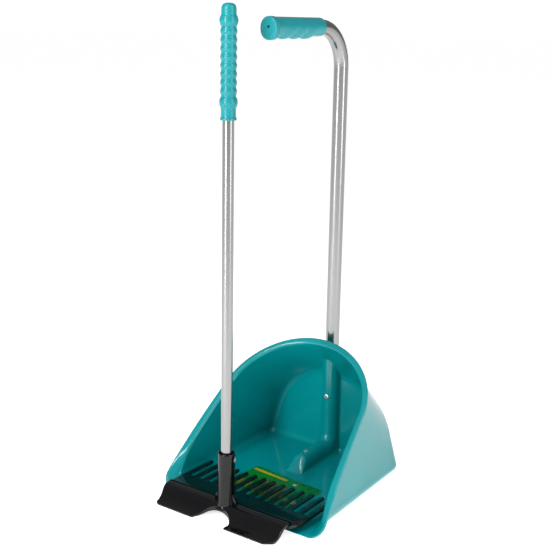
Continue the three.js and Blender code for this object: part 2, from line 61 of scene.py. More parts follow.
# ---- where the frame puts things, in millimetres ----
TUBE_RADIUS = 11
TUBE_WALL = 1.2
TOP_BEND = 60                  # radius of the bend into the level handle
TUBE_TOE = 82                  # forward end of the tube under the floor
TUBE_STOP = 4.5                # the tube ends this far short of the grip's end
RAKE_TUBE_RADIUS = 8
TUBE_LOW, TUBE_HIGH = box("scoop_tube")
BACK = TUBE_HIGH[1] - TUBE_RADIUS          # the upright tube's axis
TUBE_TOP = TUBE_HIGH[2] - TUBE_RADIUS      # axis of the tube's level end
TUBE_FOOT = TUBE_LOW[2] + TUBE_RADIUS      # axis of the tube's foot under the floor
GRIP_LOW, GRIP_HIGH = box("scoop_grip")
RAKE_LEAN = np.array([-0.0208, 0.03, 1.0])
RAKE_LOW, RAKE_HIGH = box("rake_tube")
RAKE_X = RAKE_HIGH[0] - RAKE_TUBE_RADIUS - RAKE_LEAN[0] * RAKE_LOW[2]
RAKE_Y = RAKE_HIGH[1] - RAKE_TUBE_RADIUS - RAKE_LEAN[1] * RAKE_HIGH[2]


def on_rake(height):
    """A point of the rake's axis."""
    return np.array([RAKE_X, RAKE_Y, 0]) + RAKE_LEAN * height


# ---- mesh helpers ----
def lerp(a, b, t):
    return a + (b - a) * t


def smooth(t):
    """Eases from 0 to 1."""
    t = np.clip(t, 0, 1)
    return t * t * (3 - 2 * t)


def curve_through(points, steps=6):
    """A smooth line through points of any dimension (Catmull-Rom)."""
    p = np.array(points, float)
    p = np.vstack([2 * p[0] - p[1], p, 2 * p[-1] - p[-2]])
    line = []
    for a, b, c, d in zip(p, p[1:], p[2:], p[3:]):
        for i in range(steps):
            t = i / steps
            line.append(0.5 * (2 * b + (c - a) * t + (2 * a - 5 * b + 4 * c - d) * t ** 2
                               + (3 * b - a - 3 * c + d) * t ** 3))
    return np.array(line + [p[-2]])


def mesh_piece(name, points, faces, body, slot, material, replaces=(), sharp=40, bevel=0):
    """Makes one visible piece from points in millimetres, hangs it on its body and hides the CAD parts it
    replaces.
    """
    mesh = bpy.data.meshes.new(name)
    mesh.from_pydata([tuple(c * MM for c in p) for p in np.asarray(points, float).tolist()], [],
                     [tuple(f) for f in faces])
    shape = bmesh.new()
    shape.from_mesh(mesh)
    bmesh.ops.remove_doubles(shape, verts=shape.verts, dist=0.01 * MM)
    bmesh.ops.dissolve_degenerate(shape, edges=shape.edges, dist=0.005 * MM)
    bmesh.ops.recalc_face_normals(shape, faces=shape.faces)
    if bevel:
        edges = [e for e in shape.edges if e.is_manifold and e.calc_face_angle() > math.radians(40)]
        bmesh.ops.bevel(shape, geom=edges, offset=bevel * MM, offset_type="OFFSET", segments=3,
                        profile=0.5, affect="EDGES", clamp_overlap=True)
    shape.to_mesh(mesh)
    shape.free()
    mesh.polygons.foreach_set("use_smooth", [True] * len(mesh.polygons))
    mesh.set_sharp_from_angle(angle=math.radians(sharp))
    mesh.materials.append(material)
    obj = bpy.data.objects.new(name, mesh)
    bpy.context.scene.collection.objects.link(obj)
    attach(obj, body)
    if replaces:
        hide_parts(*replaces)
    return obj


def skin(rings, looped=False):
    """Joins closed rings of equal count: capped at both ends, or looped back to the first."""
    rings = np.asarray(rings, float)
    rows, count = rings.shape[:2]
    faces = []
    for r in range(rows if looped else rows - 1):
        here, there = r * count, (r + 1) % rows * count
        faces += [(here + i, here + (i + 1) % count, there + (i + 1) % count, there + i)
                  for i in range(count)]
    if not looped:
        faces += [tuple(range(count))[::-1], tuple((rows - 1) * count + i for i in range(count))]
    return rings.reshape(-1, 3), faces


def lathe(profile, base, direction, segments=64):
    """Turns [radius, height] pairs about an axis. Ends on the axis are closed."""
    axis = np.array(direction, float) / np.linalg.norm(direction)
    side = np.cross(axis, [0, 1, 0] if abs(axis[1]) < 0.9 else [1, 0, 0])
    side /= np.linalg.norm(side)
    other = np.cross(axis, side)
    turn = np.linspace(0, 2 * math.pi, segments, endpoint=False)
    around = np.outer(np.cos(turn), side) + np.outer(np.sin(turn), other)
    rings = [np.array(base) + axis * h + around * max(r, 0) for r, h in profile]
    looped = profile[0][0] > 0 and profile[-1][0] > 0
    return skin(rings, looped)


def joined(*parts):
    """Several (points, faces) pairs as one."""
    points, faces, first = [], [], 0
    for p, f in parts:
        points.append(np.asarray(p, float))
        faces += [tuple(i + first for i in face) for face in f]
        first += len(p)
    return np.vstack(points), faces


# ---- materials ----
def shader(name):
    material = bpy.data.materials.new(name)
    material.use_nodes = True
    tree = material.node_tree
    return material, tree, tree.nodes["Principled BSDF"]


def texture_space(tree, scale=(1, 1, 1), turn=(0, 0, 0), place=(0, 0, 0)):
    """Object coordinates, scaled, turned and moved."""
    where = tree.nodes.new("ShaderNodeTexCoord")
    mapping = tree.nodes.new("ShaderNodeMapping")
    mapping.inputs["Scale"].default_value = scale
    mapping.inputs["Rotation"].default_value = turn
    mapping.inputs["Location"].default_value = place
    tree.links.new(where.outputs["Object"], mapping.inputs["Vector"])
    return mapping.outputs["Vector"]


def noise(tree, space, scale, detail=3.0, roughness=0.5):
    node = tree.nodes.new("ShaderNodeTexNoise")
    node.inputs["Scale"].default_value = scale
    node.inputs["Detail"].default_value = detail
    node.inputs["Roughness"].default_value = roughness
    tree.links.new(space, node.inputs["Vector"])
    return node.outputs["Fac"]


def spread(tree, value, low, high, start=0.3, end=0.7):
    """Maps a noise's middle range to low..high."""
    node = tree.nodes.new("ShaderNodeMapRange")
    for socket, number in zip(("From Min", "From Max", "To Min", "To Max"), (start, end, low, high)):
        node.inputs[socket].default_value = number
    tree.links.new(value, node.inputs["Value"])
    return node.outputs["Result"]


def blend_colours(tree, factor, first, second):
    node = tree.nodes.new("ShaderNodeMix")
    node.data_type = "RGBA"
    tree.links.new(factor, node.inputs["Factor"])
    for socket, colour in zip((node.inputs[6], node.inputs[7]), (first, second)):
        if isinstance(colour, tuple):
            socket.default_value = (*colour, 1)
        else:
            tree.links.new(colour, socket)
    return node.outputs[2]


def bumped(tree, bsdf, layers):
    """Chains bump nodes. Each layer is (height output, strength, distance in metres)."""
    normal = None
    for height, strength, distance in layers:
        node = tree.nodes.new("ShaderNodeBump")
        node.inputs["Strength"].default_value = strength
        node.inputs["Distance"].default_value = distance
        tree.links.new(height, node.inputs["Height"])
        if normal is not None:
            tree.links.new(normal, node.inputs["Normal"])
        normal = node.outputs["Normal"]
    tree.links.new(normal, bsdf.inputs["Normal"])


def moulded(name, colour, pale, rough, wave, grain, specular=0.5, coat=0.0):
    """Moulded plastic: slight colour drift, sink marks, fine grain, handling scuffs."""
    material, tree, bsdf = shader(name)
    space = texture_space(tree)
    drift = spread(tree, noise(tree, space, 14, 2), 0, 1)
    tree.links.new(blend_colours(tree, drift, colour, pale), bsdf.inputs["Base Color"])
    scuffs = noise(tree, texture_space(tree, (1, 3, 1), (0.4, 0.2, 0.9)), 55, 6, 0.65)
    tree.links.new(spread(tree, scuffs, rough[0], rough[1]), bsdf.inputs["Roughness"])
    bsdf.inputs["Specular IOR Level"].default_value = specular
    bsdf.inputs["Coat Weight"].default_value = coat
    bsdf.inputs["Coat Roughness"].default_value = 0.06
    bumped(tree, bsdf, [
        (noise(tree, space, wave[0], 1), wave[1], 0.001),
        (noise(tree, space, grain[0], 2), grain[1], 0.0002),
    ])
    return material


def drawn_metal(name, colour, rough):
    """Anodised drawn tube: fine lines along it and a little cloudiness."""
    material, tree, bsdf = shader(name)
    streaks = noise(tree, texture_space(tree, (1, 1, 0.004)), 1100, 2, 0.5)
    clouds = noise(tree, texture_space(tree, (1, 1, 0.2)), 30, 2)
    shade = spread(tree, streaks, 0, 1)
    light = tuple(min(1, c * 1.04) for c in colour)
    tree.links.new(blend_colours(tree, shade, colour, light), bsdf.inputs["Base Color"])
    tree.links.new(spread(tree, clouds, rough[0], rough[1]), bsdf.inputs["Roughness"])
    bsdf.inputs["Metallic"].default_value = 1
    bumped(tree, bsdf, [(streaks, 0.012, 0.0001)])
    return material


def worn_metal(name, colour, rough):
    """Plated rivet metal with fine scratches and darker specks."""
    material, tree, bsdf = shader(name)
    space = texture_space(tree)
    specks = spread(tree, noise(tree, space, 900, 4), 0, 1, 0.45, 0.75)
    dark = tuple(c * 0.6 for c in colour)
    tree.links.new(blend_colours(tree, specks, colour, dark), bsdf.inputs["Base Color"])
    tree.links.new(spread(tree, noise(tree, space, 2500, 2), *rough), bsdf.inputs["Roughness"])
    bsdf.inputs["Metallic"].default_value = 1
    bumped(tree, bsdf, [(noise(tree, space, 1800, 3), 0.15, 0.0001)])
    return material


PAN_PLASTIC = moulded("pan_plastic", (0.0, 0.27, 0.29), (0.0, 0.30, 0.32), (0.12, 0.20),
                      (20, 0.18), (1600, 0.05), coat=0.2)
GRIP_PLASTIC = moulded("grip_plastic", (0.002, 0.27, 0.30), (0.003, 0.30, 0.33), (0.26, 0.38),
                       (60, 0.10), (2600, 0.12))
BLACK_PLASTIC = moulded("black_plastic", (0.002, 0.0022, 0.003), (0.004, 0.0042, 0.005),
                        (0.05, 0.09), (30, 0.04), (1800, 0.02), specular=0.38)
ALUMINIUM = drawn_metal("tube_aluminium", (0.34, 0.345, 0.34), (0.19, 0.24))
RIVET_METAL = worn_metal("rivet_metal", (0.9, 0.9, 0.88), (0.34, 0.48))
# The pin's steel is near black: partly the steel's own darker tone, partly painted shade for the hole in the
# rivet's head.
PIN_STEEL_WITH_HOLE_SHADE = worn_metal("rivet_pin_steel", (0.07, 0.07, 0.075), (0.35, 0.5))

# ---- the pan ----
Arch = namedtuple("Arch", "radius centre lean floor corner")
RIM = Arch(126, 179, 5.7, 0, 18)
ROOT = Arch(117, 179, 4.5, 29.7, 9)
REAR = Arch(112.5, 27, 17.5, 3, 7)
BACK_FILLET = 9
FLAT = REAR._replace(radius=REAR.radius - BACK_FILLET, floor=REAR.floor + BACK_FILLET, corner=4)
PAN_LENGTH, PAN_WALL, PAN_EDGE, PANEL = 257, 3, 1.5, 7
SPAN, RUN, RISE, BOW = 305, 226, 203.5, 62
CREASE = 6.5                   # half width of the soft bend between the lip and the walls
ROOT_RISE = 45                 # the root climbs to the rim's height over this much of the arch
TAPER_BACK, TAPER_UP = 22, 30  # how far the thin front edge reaches
HOUSING = {"radius": 13.9, "fillet": 4.5, "half": 24, "bend": 24, "nose": (86, 104), "wall": 2.5,
           "rise": 6, "spacing": 14}
INNER_COLUMNS, ARC_COLUMNS, LEG_COLUMNS, CORNER_COLUMNS = 26, 26, 10, 10
ROWS = {"lip": 3, "crease": 10, "wall": 70, "fillet": 9, "panel": 44}


def rim_height(s):
    t = s / SPAN
    return RISE * t + BOW * t * (1 - t) ** 2


def place_rim(line):
    x, s = np.asarray(line, float).T
    return np.stack([x, BACK - PAN_LENGTH + RUN * s / SPAN, rim_height(s) + PAN_EDGE], -1)


def place_root(line):
    points = place_rim(line)
    s = np.asarray(line, float)[:, 1]
    drop = rim_height(ROOT.floor) + PAN_EDGE - PAN_WALL
    points[:, 2] -= drop * np.clip(1 - (s - ROOT.floor) / ROOT_RISE, 0, None) ** 2
    return points


def place_rear(line):
    x, s = np.asarray(line, float).T
    return np.stack([x, np.full(len(x), BACK + PANEL), s], -1)


def arch_line(arch, side, inner):
    """Half an arch from its middle to its corner, along the floor or over the top."""
    lean = math.radians(arch.lean)
    width = arch.radius / math.cos(lean) + (arch.centre - arch.floor) * math.tan(lean)
    tangent = arch.corner / math.tan((math.pi / 2 - lean) / 2)
    corner = (width - tangent, arch.floor + arch.corner)
    middle = (lean - math.pi / 2) / 2
    first = inner[-1]
    if side == "bottom":
        line = [(x, arch.floor) for x in inner]
        steps = ARC_COLUMNS + LEG_COLUMNS
        line += [(lerp(first, corner[0], (i + 1) / steps), arch.floor) for i in range(steps)]
        turn_from = -math.pi / 2
    else:
        line = [(x, arch.centre + math.sqrt(arch.radius ** 2 - x ** 2)) for x in inner]
        start = math.acos(first / arch.radius)
        for i in range(ARC_COLUMNS):
            a = lerp(start, lean, (i + 1) / ARC_COLUMNS)
            line.append((arch.radius * math.cos(a), arch.centre + arch.radius * math.sin(a)))
        leg_top = np.array(line[-1])
        leg_foot = np.array([width - tangent * math.sin(lean), arch.floor + tangent * math.cos(lean)])
        line += [tuple(lerp(leg_top, leg_foot, (i + 1) / LEG_COLUMNS)) for i in range(LEG_COLUMNS)]
        turn_from = lean
    for i in range(CORNER_COLUMNS):
        a = lerp(turn_from, middle, (i + 1) / CORNER_COLUMNS)
        line.append((corner[0] + arch.corner * math.cos(a), corner[1] + arch.corner * math.sin(a)))
    return line


def bezier(a, b, c, t):
    return a * (1 - t) ** 2 + b * 2 * t * (1 - t) + c * t * t


def pan_row(kind, t, side, inner):
    """Half a row of the pan's inner face, from its middle to its corner."""
    rim, root = place_rim(arch_line(RIM, side, inner)), place_root(arch_line(ROOT, side, inner))
    rear, flat = place_rear(arch_line(REAR, side, inner)), place_rear(arch_line(FLAT, side, inner))
    whole = rear - root
    length = np.linalg.norm(whole, axis=1, keepdims=True)
    along = whole / length
    lip = rim - root
    lip_start = root + lip / np.linalg.norm(lip, axis=1, keepdims=True) * CREASE
    wall_start = root + along * CREASE
    wall_end = root + along * (length - BACK_FILLET)
    if kind == "lip":
        return lerp(rim, lip_start, t)
    if kind == "crease":
        return bezier(lip_start, root, wall_start, t)
    if kind == "wall":
        return lerp(wall_start, wall_end, t)
    if kind == "fillet":
        return bezier(wall_end, rear, flat, t)
    over = place_rear(arch_line(FLAT, "top", inner))
    return lerp(flat, over, t)


def housing_section(axis, count):
    """Half section of the tube's housing, standing on a face that is `axis` from the tube's
    axis: `count` (sideways, height) steps from the middle out to the flat."""
    radius, fillet, half = HOUSING["radius"], HOUSING["fillet"], HOUSING["half"]
    if axis <= -radius:
        return np.linspace(0, half, count), np.zeros(count)
    if axis >= fillet:
        phi, foot = math.pi / 2, radius + fillet
    else:
        foot = math.sqrt((radius + fillet) ** 2 - (fillet - axis) ** 2)
        phi = math.atan2(foot, fillet - axis)
    crown = [(radius * math.sin(a), axis + radius * math.cos(a)) for a in np.linspace(0, phi, 40)]
    turn = np.linspace(phi, 0, 16)
    root = [(foot - fillet * math.sin(a), fillet - fillet * math.cos(a)) for a in turn]
    line = np.array(crown + root + [(half, 0)])
    reach = np.concatenate([[0], np.cumsum(np.hypot(*np.diff(line, axis=0).T))])
    at = np.linspace(0, reach[-1], count)
    return np.interp(at, reach, line[:, 0]), np.interp(at, reach, line[:, 1])


def nose_height(forward):
    start, end = HOUSING["nose"]
    return 1 - np.clip((forward - start) / (end - start), 0, 1) ** 1.55


def pan_half(kind, t, side):
    """Half a row with the tube's housing raised from it."""
    even = np.linspace(0, HOUSING["half"], INNER_COLUMNS)
    middle = pan_row(kind, t, side, even)[0]
    y, z = middle[1], middle[2]
    forward = BACK - y
    bend = HOUSING["bend"]
    centre = np.array([0, BACK - bend, TUBE_FOOT + bend])
    if side == "bottom" and forward >= bend:
        inward, axis, share = np.array([0, 0, 1.0]), TUBE_FOOT - z, nose_height(forward)
        spacing = smooth((HOUSING["nose"][1] + HOUSING["spacing"] - forward) / HOUSING["spacing"])
    elif z < centre[2] and y > centre[1]:
        inward = centre - middle
        axis = np.linalg.norm(inward) - bend
        inward, share, spacing = inward / np.linalg.norm(inward), 1, 1
    else:
        inward, axis, share, spacing = np.array([0, -1.0, 0]), y - BACK, 1, 1
    sideways, height = housing_section(axis, INNER_COLUMNS)
    across = lerp(even, sideways, spacing)
    across[-1] = HOUSING["half"]
    half = pan_row(kind, t, side, across)
    height = height * share
    half[:INNER_COLUMNS] += height[:, None] * inward
    raised = np.zeros(len(half))
    raised[:INNER_COLUMNS] = np.clip(height / HOUSING["rise"], 0, 1)
    return half, raised


def pan_rows():
    """Every row of the inner face, and how far each point belongs to the housing."""
    recipe = []
    for kind in ("lip", "crease", "wall", "fillet"):
        steps = ROWS[kind]
        recipe += [(kind, i / steps) for i in range(steps)]
    order = [(kind, t, "bottom") for kind, t in recipe]
    order += [("panel", i / ROWS["panel"], "bottom") for i in range(ROWS["panel"] + 1)]
    order += [(kind, t, "top") for kind, t in reversed(recipe)]
    rows, raised = [], []
    for kind, t, side in order:
        half, up = pan_half(kind, t, side)
        mirrored = half[1:][::-1] * (-1, 1, 1)
        rows.append(np.vstack([mirrored, half]))
        raised.append(np.concatenate([up[1:][::-1], up]))
    return np.array(rows), np.array(raised)


def pan_shell():
    """The inner face, given its wall and a rounded edge."""
    rows, raised = pan_rows()
    count, columns = rows.shape[:2]
    sheet = bmesh.new()
    up = sheet.verts.layers.float.new("raised")
    verts = []
    for point, share in zip(rows.reshape(-1, 3), raised.ravel()):
        vert = sheet.verts.new(point)
        vert[up] = share
        verts.append(vert)
    for r in range(count - 1):
        for c in range(columns - 1):
            a = r * columns + c
            sheet.faces.new([verts[i] for i in (a, a + 1, a + 1 + columns, a + columns)])
    bmesh.ops.remove_doubles(sheet, verts=sheet.verts, dist=0.02)
    bmesh.ops.dissolve_degenerate(sheet, edges=sheet.edges, dist=0.01)
    sheet.normal_update()
    sheet.verts.index_update()
    inner = np.array([v.co for v in sheet.verts])
    normal = np.array([v.normal for v in sheet.verts])
    share = np.array([v[up] for v in sheet.verts])
    front = (np.clip(1 - (inner[:, 1] - (BACK - PAN_LENGTH)) / TAPER_BACK, 0, 1)
             * np.clip(1 - inner[:, 2] / TAPER_UP, 0, 1))
    thick = lerp(lerp(PAN_WALL, PAN_EDGE, front), HOUSING["wall"], share)
    outer = inner - normal * thick[:, None]
    outer[:, 2] = np.clip(outer[:, 2], 0, None)
    inner_faces = [[v.index for v in f.verts] for f in sheet.faces]
    edge = {}
    for e in sheet.edges:
        if e.is_boundary:
            loop = e.link_loops[0]
            edge[loop.vert.index] = loop.link_loop_next.vert.index
    sheet.free()
    first = next(iter(edge))
    ring, at = [first], edge[first]
    while at != first:
        ring.append(at)
        at = edge[at]
    total = len(inner)
    faces = inner_faces + [[i + total for i in reversed(f)] for f in inner_faces]
    here = inner[ring]
    run = np.roll(here, -1, 0) - np.roll(here, 1, 0)
    out = np.cross(run, normal[ring])
    out /= np.linalg.norm(out, axis=1, keepdims=True)
    half = (inner[ring] - outer[ring]) / 2
    middle = (inner[ring] + outer[ring]) / 2
    size = np.linalg.norm(half, axis=1, keepdims=True)
    rounds = [middle + half * math.cos(a) + out * size * math.sin(a)
              for a in (math.pi / 4, math.pi / 2, 3 * math.pi / 4)]
    for r in rounds:
        r[:, 2] = np.clip(r[:, 2], 0, None)
    points = np.vstack([inner, outer, *rounds])
    n = len(ring)
    bands = [ring] + [[2 * total + k * n + i for i in range(n)] for k in range(3)]
    bands.append([i + total for i in ring])
    for one, two in zip(bands, bands[1:]):
        faces += [(one[(i + 1) % n], one[i], two[i], two[(i + 1) % n]) for i in range(n)]
    return points, faces


mesh_piece("pan_shell", *pan_shell(), "scoop", "pan_plastic", PAN_PLASTIC, ["scoop_pan"], sharp=60)


# ---- tubes ----
def tube_path(toe, end):
    """The scoop tube's axis as (point, inward) pairs, in the plane x = 0."""
    foot_bend, top_bend = HOUSING["bend"], TOP_BEND
    path = [((0, BACK - toe, TUBE_FOOT), (0, 0, 1))]
    for a in np.linspace(0, math.pi / 2, 21):
        path.append(((0, BACK - foot_bend + foot_bend * math.sin(a),
                      TUBE_FOOT + foot_bend - foot_bend * math.cos(a)), (0, -math.sin(a), math.cos(a))))
    for a in np.linspace(0, math.pi / 2, 33):
        path.append(((0, BACK - top_bend + top_bend * math.cos(a),
                      TUBE_TOP - top_bend + top_bend * math.sin(a)), (0, -math.cos(a), -math.sin(a))))
    path.append(((0, BACK - end, TUBE_TOP), (0, 0, -1)))
    return path


def swept(path, radius, segments=48):
    turn = np.linspace(0, 2 * math.pi, segments, endpoint=False)
    return [np.array(at) + np.outer(np.cos(turn) * radius, (1, 0, 0))
            + np.outer(np.sin(turn) * radius, inward) for at, inward in path]


GRIP_START, GRIP_END = BACK - GRIP_HIGH[1], BACK - GRIP_LOW[1]
scoop_path = tube_path(TUBE_TOE, GRIP_END - TUBE_STOP)
scoop_rings = swept(scoop_path, TUBE_RADIUS) + swept(scoop_path, TUBE_RADIUS - TUBE_WALL)[::-1]
mesh_piece("scoop_handle_tube", *skin(scoop_rings, looped=True), "scoop", "tube_aluminium",
           ALUMINIUM, ["scoop_tube"])

rake_axis = RAKE_LEAN / np.linalg.norm(RAKE_LEAN)
rake_foot, rake_end = on_rake(RAKE_LOW[2]), on_rake(RAKE_HIGH[2])
rake_length = np.linalg.norm(rake_end - rake_foot)
inside = RAKE_TUBE_RADIUS - TUBE_WALL
rake_profile = [(inside, 0), (RAKE_TUBE_RADIUS, 0), (RAKE_TUBE_RADIUS, rake_length), (inside, rake_length)]
mesh_piece("rake_handle_tube", *lathe(rake_profile, rake_foot, rake_axis, 48), "rake",
           "tube_aluminium", ALUMINIUM, ["rake_tube"])

# ---- grips ----
GRIP_RADIUS = 13.2
LOBES = {"first": 92, "pitch": 27, "count": 3, "deep": 3.6, "slant": 9}


def grip_ring(forward, radius, drop, segments=64):
    """A ring of the scoop's grip: a circle that hangs lower where the fingers go."""
    turn = np.linspace(0, 2 * math.pi, segments, endpoint=False)
    x, z = np.cos(turn), np.sin(turn)
    under = np.clip(-z, 0, 1)
    from_bottom = np.arccos(np.clip(under, -1, 1)) / (math.pi / 2)
    along = (forward + LOBES["slant"] * from_bottom - LOBES["first"]) / LOBES["pitch"]
    in_lobes = (along > 0) & (along < LOBES["count"])
    lobe = np.where(in_lobes, np.abs(np.sin(math.pi * along)) ** 0.9, 0) * LOBES["deep"]
    reach = radius + (lobe + drop) * under ** 1.4
    return np.stack([reach * x, np.full(segments, BACK - forward), TUBE_TOP + reach * z], -1)


def scoop_grip():
    start, end = GRIP_START, GRIP_END
    rings = [grip_ring(start + 5, 11.25, 0), grip_ring(start + 0.6, 11.25, 0), grip_ring(start, 11.6, 0)]
    for a in np.linspace(0.15, math.pi / 2, 5):
        rings.append(grip_ring(start + 2 * (1 - math.cos(a)), GRIP_RADIUS - 1.3 * (1 - math.sin(a)), 0))
    rings += [grip_ring(f, GRIP_RADIUS, 0) for f in np.arange(start + 5, end - 12, 1.5)]
    for t in np.linspace(0, 1, 7):
        rings.append(grip_ring(end - 12 + 3 * t, GRIP_RADIUS + 0.7 * smooth(t), 3.9 * smooth(t)))
    rings += [grip_ring(end - 6.4, 13.9, 4), grip_ring(end - 5.6, 13.4, 3.8), grip_ring(end - 4.8, 13.9, 4)]
    for a in np.linspace(0.1, math.pi / 2, 6):
        rings.append(grip_ring(end - 2 + 2 * math.sin(a), 13.9 - 1.8 * (1 - math.cos(a)), 4))
    rings += [grip_ring(end, 8, 1.5), grip_ring(end, 2.2, 0), grip_ring(end - 0.4, 1.9, 0),
              grip_ring(end - 4.2, 1.9, 0)]
    return skin(rings)


mesh_piece("scoop_hand_grip", *scoop_grip(), "scoop", "grip_plastic", GRIP_PLASTIC, ["scoop_grip"], sharp=50)

RAKE_GRIP_TILT = 0.33          # how far the leaning grip's rim dips below its axis
GRIP_FOOT = box("rake_grip")[0][2] + RAKE_GRIP_TILT
RIB_COUNT, RIB_PITCH, FIRST_RIB = 8, 11, 38
ribs = []
for i in range(RIB_COUNT):
    rib = FIRST_RIB + RIB_PITCH * i
    ribs += [(11.2, rib), (9.9, rib + RIB_PITCH / 2)]
grip_outline = [(8.3, 0.4), (9.2, 0), (10.7, 0.2), (11.15, 0.9), (11.1, 2.5), (10.4, 3.6), (10.15, 5),
                (10.1, 10), (10.1, 14.5), (10.4, 16.5), (11.6, 19.4), (12.3, 23.6), (11.6, 27.8),
                (9.95, 31.8), *ribs, (10.3, 121.2), (11.7, 124.2), (12.5, 128.4), (11.7, 132.6),
                (10.2, 136), (10, 139.5), (9.9, 143.6), (8.9, 147.6), (6.2, 150), (3, 150.8), (0, 150.9)]
grip_profile = curve_through(grip_outline, 5).tolist()
mesh_piece("rake_hand_grip", *lathe([(0, 3), (8.2, 3), *grip_profile], on_rake(GRIP_FOOT), rake_axis, 72),
           "rake", "grip_plastic", GRIP_PLASTIC, ["rake_grip"], sharp=60)

# ---- rivets and the tube's plug ----
# Each rivet's body, the way its head faces, the height of its seat and the radius of its tube.
RIVET_SEATS = {"upper_rivet": ("scoop", (0, -1, 0), 13.2, TUBE_RADIUS),
               "lower_rivet": ("scoop", (0, 0, 1), 13.2, TUBE_RADIUS),
               "rake_rivet": ("rake", (0.9063, 0.4226, 0.0062), 11.8, RAKE_TUBE_RADIUS)}
RAKE_RIVET_HEIGHT = 86
AIR = 0.3                      # between pieces that touch
BULB = 3.5


def rivet_axis(node):
    """The point of the tube's axis under a rivet."""
    low, high = box(node)
    middle = (low + high) / 2
    if node == "upper_rivet":
        return np.array([0, BACK, middle[2]])
    if node == "lower_rivet":
        return np.array([0, middle[1], TUBE_FOOT])
    return on_rake(RAKE_RIVET_HEIGHT)


def rivets():
    for node, (body, out, seat, tube) in RIVET_SEATS.items():
        top = math.sqrt((tube - TUBE_WALL) ** 2 - BULB ** 2) - 0.5
        under = seat + AIR
        outline = [(1.3, top - 2.6), (2.7, top - 2.5), (3.3, top - 2), (BULB, top - 1), (3.2, top - 0.2),
                   (2.4, top), (2.4, under), (4.1, under), (4.25, under + 0.25), (4.15, under + 0.6),
                   (3.6, under + 1), (2.8, under + 1.25), (2, under + 1.35), (1.5, under + 1.3),
                   (1.3, under + 1.05)]
        base = rivet_axis(node)
        mesh_piece(node + "_shell", *lathe(outline, base, out, 40), body, "rivet_metal", RIVET_METAL,
                   [node], sharp=35)
        # The stub's near-black metal is partly painted shade for the hole it sits in.
        pin = [(0, top - 4.2), (1.4, top - 4.1), (2, top - 3), (1.1, top - 2.9), (1.1, under + 0.55),
               (0.9, under + 0.7), (0, under + 0.75)]
        mesh_piece(node + "_stub", *lathe(pin, base, out, 24), body, "rivet_pin_steel", PIN_STEEL_WITH_HOLE_SHADE,
                   [node + "_pin"], sharp=35)


rivets()
bore = TUBE_RADIUS - TUBE_WALL - AIR
plug = [(0, -6), (bore - 1, -6), (bore - 0.3, -5.6), (bore, -4.8), (bore, 0.3), (10.3, 0.3), (10.6, 0.6),
        (10.5, 1.3), (9.8, 1.7), (4, 1.85), (0, 1.85)]
mesh_piece("tube_foot_plug", *lathe(plug, (0, BACK - TUBE_TOE, TUBE_FOOT), (0, -1, 0), 48), "scoop",
           "black_plastic", BLACK_PLASTIC, ["foot_plug"], sharp=50)

# ---- the rake's head ----
SPINE = 109                    # half length of the spine
SOCKET_FOOT = 14
PLATE_TOP, PLATE_THICK, PLATE_DEPTH = 16.5, 4, 45
SHOULDER = 18                  # where the plate reaches its full width
TINES = {"count": 14, "pitch": 17.45, "width": 7.8, "length": 64, "slope": 1.9, "shift": 2,
         "root": 1.5, "taper": 0.92}


def comb():
    """The tine plate as one outline, extruded and sloped down to the back."""
    half, pitch, count = TINES["width"] / 2, TINES["pitch"], TINES["count"]
    narrow = half * TINES["taper"]
    wide = (count - 1) / 2 * pitch + half
    shift = TINES["shift"]
    outline = [(-SPINE, 0), (SPINE, 0), (shift + wide, SHOULDER)]
    tip = PLATE_DEPTH + TINES["length"] - half
    for i in reversed(range(count)):
        x = shift + (i - (count - 1) / 2) * pitch
        if i < count - 1:
            outline.append((x + half + TINES["root"], PLATE_DEPTH))
        outline += [(x + half, PLATE_DEPTH + 2), (x + narrow, tip)]
        outline += [(x + narrow * math.cos(a), tip + half * math.sin(a))
                    for a in np.linspace(0.3, math.pi - 0.3, 9)]
        outline += [(x - narrow, tip), (x - half, PLATE_DEPTH + 2)]
        if i > 0:
            outline.append((x - half - TINES["root"], PLATE_DEPTH))
    outline.append((shift - wide, SHOULDER))
    slope = math.radians(TINES["slope"])
    n = len(outline)
    points = []
    for z in (0, -PLATE_THICK):
        for x, y in outline:
            points.append((RAKE_X + x, RAKE_Y + y * math.cos(slope) + z * math.sin(slope),
                           PLATE_TOP - y * math.sin(slope) + z * math.cos(slope)))
    faces = [tuple(range(n)), tuple(range(2 * n - 1, n - 1, -1))]
    faces += [(i, i + n, (i + 1) % n + n, (i + 1) % n) for i in range(n)]
    return points, faces


# The blade as [forward, height] pairs, and the notch as [sideways, forward] pairs.
BLADE_FRONT, BLADE_BACK = 37, -6
UPPER_LINE = [(-6, 21.5), (3, 21.4), (9, 20.5), (14, 17), (18, 12), (23, 7), (29, 4), (37, 2.2)]
LOWER_LINE = [(-6, 17.5), (3, 17.5), (8, 16.5), (12, 13), (16, 8), (22, 3.2), (29, 0.9), (37, 0.2)]
NOTCH = [(-33.5, 37), (-29, 27), (-21.5, 19), (-12, 15), (-1, 14), (10, 15), (20, 19.5), (27, 28),
         (31, 37)]


